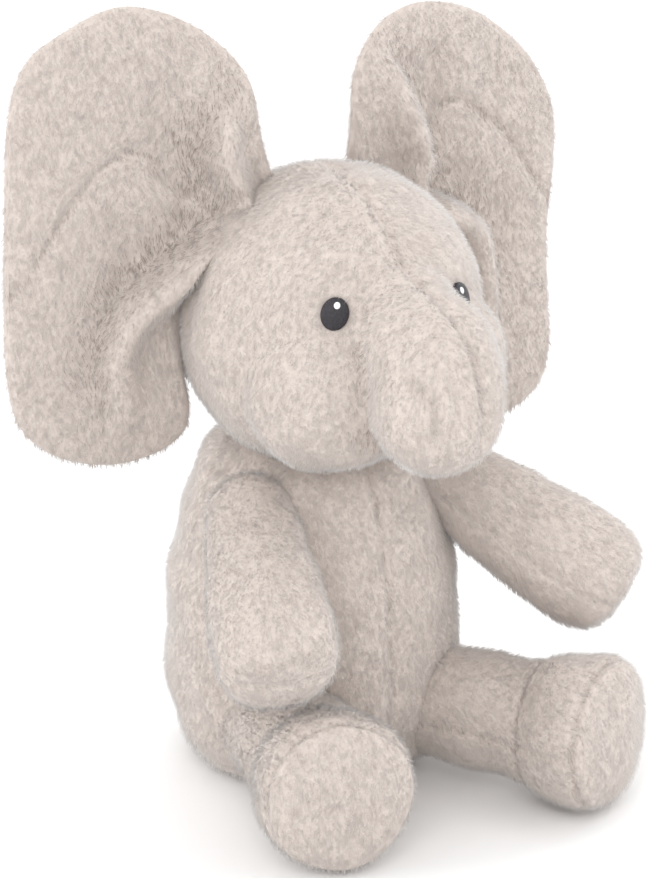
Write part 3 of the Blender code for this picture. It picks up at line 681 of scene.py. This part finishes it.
def ear_frame(side):
    outward = Vector((side * math.cos(EAR_SWEEP), math.sin(EAR_SWEEP), 0))
    front = Vector((side * math.sin(EAR_SWEEP), -math.cos(EAR_SWEEP), 0))
    matrix = Matrix((outward, Vector((0, 0, 1)), front)).transposed().to_4x4()
    matrix.translation = Vector(HEAD_CENTRE + EAR_HINGE_DIRECTION * (side, 1, 1) * EAR_HINGE_REACH)
    return matrix


def ear_shade(name, side):
    """Painted shade in the ear's gathers and along its arched seam, as the chance of a fibre taking the darkest
    tone.
    """
    inverse = np.array(ear_frame(side).inverted())
    upper, lower = (curve_points(fold, 6) for fold in EAR_FOLDS[name])
    arch = curve_points(EAR_ARCH, 8)

    def shade(root, normal):
        local = root @ inverse[:3, :3].T + inverse[:3, 3]
        flat, facing = local[:, :2], normal @ inverse[2, :3]
        deep = 0.30 * bell(line_distance(flat, arch)[0], 0.0016)
        for fold, turn in ((upper, -1), (lower, 1)):
            distance, share = side_of(flat, fold)
            distance = distance * turn
            hollow = np.where(distance > 0, bell(distance, 0.0085), bell(distance, 0.0035))
            deep = np.maximum(deep, 0.85 * hollow * (1 - 0.6 * share))
        return deep * (facing > 0.1)

    return shade


def build_ear(name, side):
    """A pillow of two faces: the front one is gathered at the root and has the arched seam."""
    outline = curve_points(EAR_OUTLINES[name], 10, closed=True)
    rings = np.sin(np.linspace(0, 1, 60) * math.pi / 2)
    seed = 7 if side > 0 else 5
    arch = curve_points(EAR_ARCH, 8)
    count = len(outline)
    verts = []
    for face in (1, -1):
        flat = np.concatenate([EAR_MIDDLE + ring * (outline - EAR_MIDDLE) for ring in rings])
        share = np.repeat(rings, count)
        plump = np.sqrt(np.clip(1 - share ** 4.0, 0, 1))
        cup = 0.0045 * np.linalg.norm((flat - EAR_MIDDLE) / (0.050, 0.084), axis=1) ** 2
        back, front = paddle_layer(flat)
        lumps = smooth_noise(np.c_[flat, np.full(len(flat), face)], 0.030, seed + 1)
        puff = 0.0062 * plump * (1 + 0.10 * lumps)
        if face > 0:
            off, _ = line_distance(flat, arch)
            seam = 0.0018 * bell(off, 0.0013) + 0.0014 * bell(off, 0.0045)
            rise = np.clip(3.2 * (1.0 - share), 0, 1) * ear_front(flat, name, seed)
            rise -= seam * np.clip(1.4 - share, 0, 1)
            height = np.where(share > 0.97, cup + puff, np.maximum(cup + puff + rise, front))
            height = np.maximum(height, cup - 0.002)
        else:
            height = np.where(share > 0.97, cup - puff, np.minimum(cup - puff, back))
        verts.append(np.c_[flat, height])
    verts = np.concatenate(verts)
    size = len(rings) * count
    faces = []
    for ring in range(len(rings) - 1):
        for k in range(count):
            n = (k + 1) % count
            a, b, c, d = ring * count + k, ring * count + n, (ring + 1) * count + n, (ring + 1) * count + k
            if ring == 0:
                faces += [(a, c, d), (size + a, size + c, size + d)]
            else:
                faces += [(a, b, c, d), (size + a, size + b, size + c, size + d)]
    mesh = mesh_of(verts, faces)
    mesh.transform(ear_frame(side))
    bm = bmesh.new()
    bm.from_mesh(mesh)
    bmesh.ops.recalc_face_normals(bm, faces=bm.faces)
    bm.to_mesh(mesh)
    bm.free()
    mesh.polygons.foreach_set("use_smooth", np.ones(len(mesh.polygons), bool))
    mesh.materials.append(PLUSH)
    ear = add(f"ear_{name}_cover", mesh)
    hinge = np.array(ear_frame(side).translation)
    outward = 0.858 * np.array((side * math.cos(EAR_SWEEP), math.sin(EAR_SWEEP), 0)) + np.array((0, 0, 0.513))
    blend = ("head", f"ear_{name}", tuple(hinge - outward * 0.004), tuple(hinge + outward * 0.016))
    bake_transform(ear)
    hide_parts(f"ear_front_upper_{name}", f"ear_front_lower_{name}", f"ear_back_{name}",
                f"ear_batting_{name}")
    add_pile(ear, f"ear_{name}", downward, 51 + side, blend=blend, shade=ear_shade(name, side))


# --- torso --------------------------------------------------------------------------------------------------

def torso_radius(z):
    outline = curve_points(TORSO_OUTLINE, 8)
    return np.interp(z, outline[:, 1], outline[:, 0])


def build_torso():
    body = turned(list(map(tuple, curve_points(TORSO_OUTLINE, 6))))
    pocket = block((-FLAP_HALF_WIDTH - 0.0004, 0.0415, FLAP_LOW_Z - 0.0004),
                   (FLAP_HALF_WIDTH + 0.0004, 0.08, FLAP_TOP_Z))
    skin = welded([cut(body, pocket)], smoothing=5)

    def depth(p, n):
        front = p[:, 1] < 0
        pressed = 0.0012 * bell(p[:, 0], 0.0011) * front
        pressed += 0.0009 * bell(p[:, 0], 0.0050) * front
        pressed += 0.0006 * bell(p[:, 1] - SIDE_SEAM_Y, 0.0014) * (np.abs(p[:, 0]) > 0.03)
        pressed += 0.0010 * bell(p[:, 2] - BASE_SEAM_Z, 0.0012)
        return pressed

    torso = finish_skin("torso_cover", skin, "torso", depth, 0.0008, 9)
    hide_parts("torso_front_panel_right", "torso_front_panel_left", "torso_back_panel",
                "torso_base_panel", "torso_stuffing")

    def keep(root, normal):
        inside = (np.abs(root[:, 0]) < FLAP_HALF_WIDTH + 0.001) & (root[:, 1] > 0.030)
        inside &= (root[:, 2] > FLAP_LOW_Z - 0.001) & (root[:, 2] < FLAP_TOP_Z + 0.0005)
        return ~inside & (root[:, 2] > 0.003)

    # Painted shade: fibres along the front seam and the side seams take the darkest tone.
    def shade(root, normal):
        front = 0.22 * bell(root[:, 0], 0.0012) * (root[:, 1] < 0)
        side = 0.15 * bell(root[:, 1] - SIDE_SEAM_Y, 0.0014)
        return front + side

    add_pile(torso, "torso", downward, 61, keep=keep, shade=shade)


def build_flap():
    """The closing flap over the battery door, a sewn panel with the torso's own curve."""
    columns = np.linspace(-FLAP_HALF_WIDTH + 0.0006, FLAP_HALF_WIDTH - 0.0006, 40)
    rows = np.linspace(FLAP_LOW_Z + 0.0006, FLAP_TOP_Z - 0.0009, 44)
    verts, faces = [], []
    for inset in (0.0, 0.0022):
        for z in rows:
            radius = torso_radius(z) - inset
            verts += [(x, math.sqrt(radius ** 2 - x ** 2), z) for x in columns]
    wide, size = len(columns), len(columns) * len(rows)
    for r in range(len(rows) - 1):
        for c in range(wide - 1):
            a = r * wide + c
            faces += [(a, a + 1, a + wide + 1, a + wide),
                      (size + a, size + a + 1, size + a + wide + 1, size + a + wide)]
    ring = [c for c in range(wide)] + [r * wide + wide - 1 for r in range(1, len(rows))]
    ring += [(len(rows) - 1) * wide + c for c in range(wide - 2, -1, -1)]
    ring += [r * wide for r in range(len(rows) - 2, 0, -1)]
    faces += [(a, b, size + b, size + a) for a, b in zip(ring, ring[1:] + ring[:1])]
    mesh = mesh_of(verts, faces)
    mesh.polygons.foreach_set("use_smooth", np.ones(len(mesh.polygons), bool))
    mesh.set_sharp_from_angle(angle=math.radians(50))
    mesh.materials.append(PLUSH)
    flap = add("access_flap_cover", mesh)
    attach(flap, "flap")
    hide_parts("access_flap")

    def keep(root, normal):
        outside = root[:, 1] > np.sqrt(torso_radius(root[:, 2]) ** 2 - root[:, 0] ** 2) - 0.001
        return (normal[:, 1] > 0.3) & outside

    add_pile(flap, "flap", downward, 67, keep=keep)


# --- limbs --------------------------------------------------------------------------------------------------

def round_end(radius, last_angle, steps):
    """Outline of the rounded end that a limb has inside its socket."""
    return [(radius * math.sin(a), -radius * math.cos(a)) for a in np.linspace(0.05, last_angle, steps)]


def build_arm(name, side):
    """A blunt arm, narrow at the shoulder, full at the hand, with a seam along each side."""
    matrix = frame_of(SHOULDER * (side, 1, 1), ARM_AIM[side])
    outline = [(ARM_ROOT_RADIUS, 0.0), (0.0180, 0.016), (0.0203, 0.034), (0.0218, 0.050), (0.0222, 0.062),
               (0.0216, 0.071), (0.0190, 0.0775), (0.0135, 0.0812), (0.0060, 0.0826), (0.0005, 0.0829)]
    root = round_end(ARM_ROOT_RADIUS, 1.45, 12)
    limb = turned(root + [(r, h * ARM_SHARE[side]) for r, h in curve_points(outline, 6)], 64)
    skin = welded([limb], smoothing=5)
    points, normals = points_of(skin), normals_of(skin)
    pressed = 0.0009 * bell(points[:, 1], 0.0011) * (points[:, 2] > -0.004)
    pressed -= 0.0006 * smooth_noise(points, 0.020, 31 + side)
    set_points(skin, points - normals * pressed[:, None])
    skin.transform(matrix)
    arm = finish_skin(f"arm_{name}_cover", skin, f"arm_{name}", unpressed, 0.0, 1)
    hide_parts(f"arm_upper_panel_{name}", f"arm_under_panel_{name}", f"arm_stuffing_{name}")
    way = np.array(matrix.to_3x3() @ Vector((0, 0, 1)))

    def comb(root):
        return np.tile(way * 0.9 + (0, 0, -0.4), (len(root), 1))

    add_pile(arm, f"arm_{name}", comb, 71 + side)


def build_leg(name, side):
    """A splayed leg with a seam round the ankle, one down each side, and a round domed sole."""
    matrix = frame_of(HIP[side], LEG_AIM[side])
    lengths = [0.0, 0.022, 0.044, 0.054, 0.062, 0.0700, SOLE_AT]
    radii = [LEG_ROOT_RADIUS, 0.0222, 0.0226, 0.0246, 0.0274, 0.0286, SOLE_RADIUS]
    outline = curve_points(list(zip(radii, lengths)), 6)
    root = round_end(LEG_ROOT_RADIUS, 1.5, 14)
    sole = [(SOLE_RADIUS * math.cos(a), SOLE_AT + SOLE_DOME * math.sin(a))
            for a in np.linspace(0.08, 1.5, 16)]
    skin = welded([turned(root + list(map(tuple, outline)) + sole)], smoothing=5)
    points, normals = points_of(skin), normals_of(skin)
    radial = np.linalg.norm(points[:, :2], axis=1)
    edge = np.hypot(radial - SOLE_RADIUS, points[:, 2] - SOLE_SEAM_AT)
    pressed = 0.0016 * bell(edge, 0.0014)
    pressed += 0.0012 * bell(points[:, 2] - ANKLE_SEAM_AT, 0.0012) * (points[:, 2] < 0.06)
    pressed += 0.0010 * bell(points[:, 1], 0.0011) * (points[:, 2] < 0.077) * (points[:, 2] > 0.0)
    pressed += 0.0016 * bell(np.linalg.norm(points - (0.012 * side, 0.020, 0.050), axis=1), 0.006)
    pressed -= 0.0007 * smooth_noise(points, 0.024, 83 + side)
    set_points(skin, points - normals * pressed[:, None])
    skin.transform(matrix)
    leg = finish_skin(f"leg_{name}_cover", skin, f"leg_{name}", unpressed, 0.0, 1)
    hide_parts(f"leg_upper_panel_{name}", f"leg_under_panel_{name}", f"foot_sole_{name}",
                f"leg_stuffing_{name}")
    axis = np.array(matrix.to_3x3() @ Vector((0, 0, 1)))
    origin = np.array(HIP[side])
    turn = np.array(matrix.to_3x3())

    def comb(root):
        along = (root - origin) @ axis
        way = np.tile(axis * 0.8 + (0, 0, -0.5), (len(root), 1))
        way[along > 0.079] = (0, 0, -1)
        return way

    def keep(root, normal):
        return root[:, 2] > 0.0022

    # Painted shade: fibres along the sole and ankle seams and the side seams take the darkest tone.
    def shade(root, normal):
        local = (root - origin) @ turn
        rim = np.hypot(np.linalg.norm(local[:, :2], axis=1) - SOLE_RADIUS, local[:, 2] - SOLE_SEAM_AT)
        seams = 0.30 * bell(rim, 0.0022) + 0.25 * bell(local[:, 2] - ANKLE_SEAM_AT, 0.0020)
        return seams + 0.25 * bell(local[:, 1], 0.0013) * (local[:, 2] < 0.077)

    add_pile(leg, f"leg_{name}", comb, 91 + side, keep=keep, shade=shade)


# --- parts inside -------------------------------------------------------------------------------------------

def finish_parts():
    """Gives each carried-over hard part its finish."""
    white = plain_plastic("moulded_white", (0.78, 0.77, 0.74), 0.45)
    grey = plain_plastic("moulded_grey", (0.20, 0.21, 0.22), 0.50)
    looks = {
        "gearbox_front_shell": white, "gearbox_rear_shell": white,
        "motor": plain_plastic("drawn_steel", (0.60, 0.60, 0.61), 0.32, 1.0, 400.0, 0.05),
        "motor_pinion": plain_plastic("cut_brass", (0.72, 0.55, 0.25), 0.30, 1.0, 400.0, 0.05),
        "drive_gear": grey,
        "circuit_board": plain_plastic("board_lacquer", (0.03, 0.20, 0.09), 0.35, 0.0, 300.0, 0.2, 0.3),
        "speaker": plain_plastic("speaker_frame", (0.05, 0.05, 0.055), 0.55),
        "battery_box": grey, "battery_door": grey,
        "battery_door_screw": plain_plastic("plated_steel", (0.66, 0.66, 0.67), 0.25, 1.0, 500.0, 0.05),
    }
    cell = plain_plastic("cell_sleeve", (0.16, 0.17, 0.19), 0.30, 0.4)
    for number in (1, 2, 3):
        looks[f"battery_cell_{number}"] = cell
    for name in SIDES:
        looks[f"ear_paddle_{name}"] = grey
        looks[f"foot_switch_cup_{name}"] = white
        looks[f"foot_switch_button_{name}"] = grey
    for node, material in looks.items():
        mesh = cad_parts[node].data
        if not mesh.materials:
            mesh.materials.append(material)
        for index in range(len(mesh.materials)):
            mesh.materials[index] = material


# --- stage --------------------------------------------------------------------------------------------------

def build_stage():
    floor = add("floor", block((-6, -6, -0.02), (6, 6, 0)))
    material, nodes, links, shader = new_material("white_floor")
    shade = add_noise(nodes, links, 0.4)
    ramp = nodes.new("ShaderNodeValToRGB")
    ramp.color_ramp.elements[0].color = (0.93, 0.93, 0.93, 1)
    ramp.color_ramp.elements[1].color = (0.95, 0.95, 0.95, 1)
    links.new(shade.outputs["Fac"], ramp.inputs["Fac"])
    links.new(ramp.outputs["Color"], shader.inputs["Base Color"])
    shader.inputs["Roughness"].default_value = 0.9
    shader.inputs["Specular IOR Level"].default_value = 0.0
    floor.data.materials.append(material)

    world = bpy.data.worlds.new("studio")
    bpy.context.scene.world = world
    world.use_nodes = True
    world.node_tree.nodes["Background"].inputs["Color"].default_value = (1, 1, 1, 1)
    world.node_tree.nodes["Background"].inputs["Strength"].default_value = 1.0
    lamps = [("key", (-1.2, -1.4, 1.4), 1.3, 13.0), ("fill", (1.5, -1.5, 0.7), 1.4, 9.0),
             ("top", (0.1, 0.5, 2.2), 1.4, 8.0), ("left_rim", (-2.0, 0.5, 0.8), 0.8, 10.0),
             ("right_rim", (2.0, 0.3, 0.8), 0.8, 9.0)]
    for name, place, size, watts in lamps:
        lamp = bpy.data.lights.new(name, "AREA")
        lamp.shape = "DISK"
        lamp.size = size
        lamp.energy = watts
        obj = bpy.data.objects.new(name, lamp)
        obj.location = place
        obj.rotation_euler = (Vector((0, -0.02, 0.14)) - Vector(place)).to_track_quat("-Z", "Y").to_euler()
        bpy.context.scene.collection.objects.link(obj)
    bpy.context.scene.view_settings.view_transform = "Standard"
    bpy.context.scene.view_settings.exposure = 0.0


def build_camera():
    azimuth, elevation, distance = math.radians(-33), math.radians(20), 1.2
    back = Vector((math.sin(azimuth) * math.cos(elevation), -math.cos(azimuth) * math.cos(elevation),
                   math.sin(elevation)))
    right = Vector((math.cos(azimuth), math.sin(azimuth), 0))
    up = back.cross(right)
    target = right * 0.0064 + up * 0.119 + back * 0.065
    data = bpy.data.cameras.new("camera")
    data.lens = 133.8
    data.sensor_width = 36.0
    data.sensor_fit = "AUTO"
    data.clip_start = 0.05
    camera = bpy.data.objects.new("camera", data)
    matrix = Matrix((right, up, back)).transposed().to_4x4()
    matrix.translation = target + back * distance
    camera.matrix_world = matrix
    bpy.context.scene.collection.objects.link(camera)
    bpy.context.scene.camera = camera


build_camera()
build_stage()
build_head()
build_eyes()
build_torso()
build_flap()
for side_name, side_sign in SIDES.items():
    build_ear(side_name, side_sign)
    build_arm(side_name, side_sign)
    build_leg(side_name, side_sign)
finish_parts()
